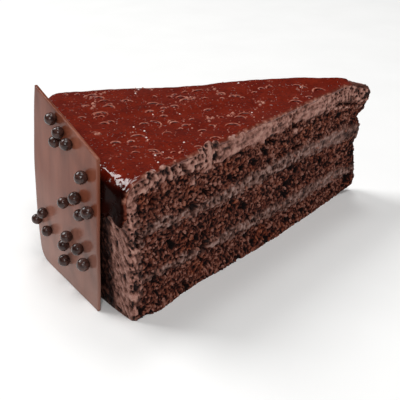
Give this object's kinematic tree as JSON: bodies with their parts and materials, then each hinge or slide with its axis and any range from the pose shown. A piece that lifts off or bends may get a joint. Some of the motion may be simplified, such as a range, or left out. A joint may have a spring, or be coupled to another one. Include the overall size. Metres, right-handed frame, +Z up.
{
  "type": "slice of chocolate layer cake",
  "caption": "Wedge of glazed chocolate layer cake with cream fillings, frosted round side and a leaning chocolate plaque set with pearls.",
  "frame": {"origin": "on the flat bottom, under the middle of the slice", "axes": "+X from the round side towards the tip, +Y towards the far cut, +Z up"},
  "size_m": [0.1346, 0.08, 0.0619],
  "materials": {
    "sponge": "open baked crumb, dark reddish brown, matte",
    "filling": "aerated chocolate cream, mauve brown, satin where smeared",
    "frosting": "aerated chocolate frosting, knife-smeared, mauve brown",
    "glaze": "poured chocolate glaze, wet gloss with small bubbles",
    "chocolate": "set chocolate, satin, with darker polished pearls"
  },
  "bodies": {
    "root": {"sponge_bottom": "sponge", "filling_lower": "filling", "sponge_middle": "sponge", "filling_upper": "filling", "sponge_top": "sponge", "frosting": "frosting", "glaze": "glaze", "plaque": "chocolate"}
  },
  "joints": []
}
